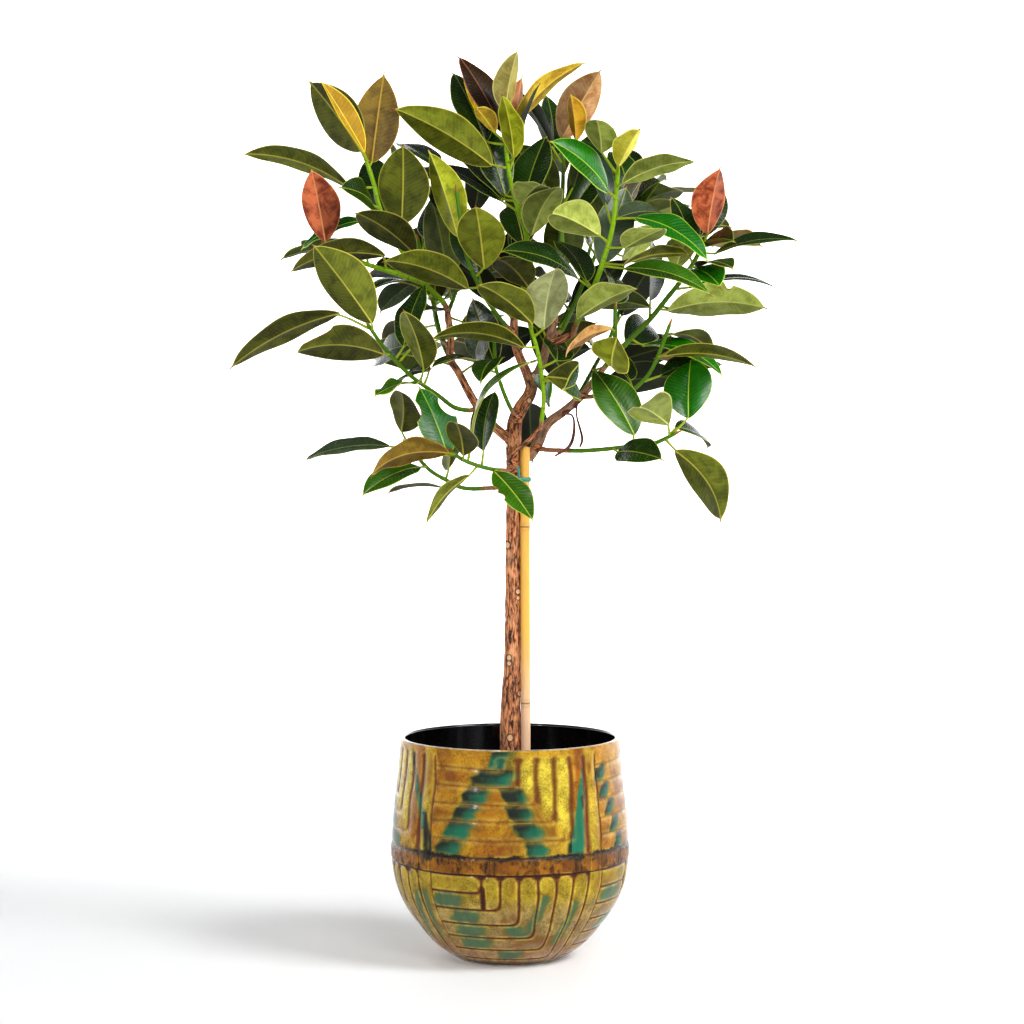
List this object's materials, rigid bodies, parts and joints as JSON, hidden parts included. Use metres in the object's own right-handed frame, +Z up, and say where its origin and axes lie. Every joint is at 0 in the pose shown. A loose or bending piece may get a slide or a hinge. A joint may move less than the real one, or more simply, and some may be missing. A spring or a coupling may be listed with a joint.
{
  "type": "potted rubber plant",
  "caption": "Rubber plant trained as a small standard tree, tied to a cane and growing in soil in a round glazed pot with relief of nested right-angled bars.",
  "frame": {"origin": "middle of the pot's flat foot, on the surface that it stands on", "axes": "+Z up along the pot's axis; the front of the plant, where a twig crosses the trunk, faces -Y; the crown is widest along X"},
  "size_m": [0.7052, 0.5127, 1.1295],
  "materials": {
    "pot_glaze": "glossy amber glaze over relief, brushed with green",
    "soil": "dark crumbly potting soil",
    "bark": "rough furrowed brown bark",
    "cane": "smooth straw-coloured bamboo",
    "tie_plastic": "satin green plastic",
    "rubber_plant_leaf": "thick glossy leaf, matte olive underneath"
  },
  "bodies": {
    "root": {"pot": "pot_glaze", "soil": "soil", "trunk": "bark", "cane": "cane", "tie": "tie_plastic", "shoot_upper_left": "rubber_plant_leaf", "shoot_left": "rubber_plant_leaf", "shoot_left_back": "rubber_plant_leaf", "shoot_centre_left": "rubber_plant_leaf", "shoot_centre_top": "rubber_plant_leaf", "shoot_top_right": "rubber_plant_leaf", "shoot_right_front": "rubber_plant_leaf", "shoot_right_back": "rubber_plant_leaf", "shoot_right": "rubber_plant_leaf", "shoot_right_low": "rubber_plant_leaf", "shoot_front": "rubber_plant_leaf", "shoot_front_left": "rubber_plant_leaf", "shoot_low_right": "rubber_plant_leaf", "shoot_low_front": "rubber_plant_leaf", "shoot_low_left": "rubber_plant_leaf", "shoot_back_low_left": "rubber_plant_leaf", "shoot_back_low": "rubber_plant_leaf", "shoot_back_low_right": "rubber_plant_leaf", "shoot_back_left": "rubber_plant_leaf", "shoot_back_centre": "rubber_plant_leaf", "shoot_back_right": "rubber_plant_leaf"}
  },
  "joints": []
}
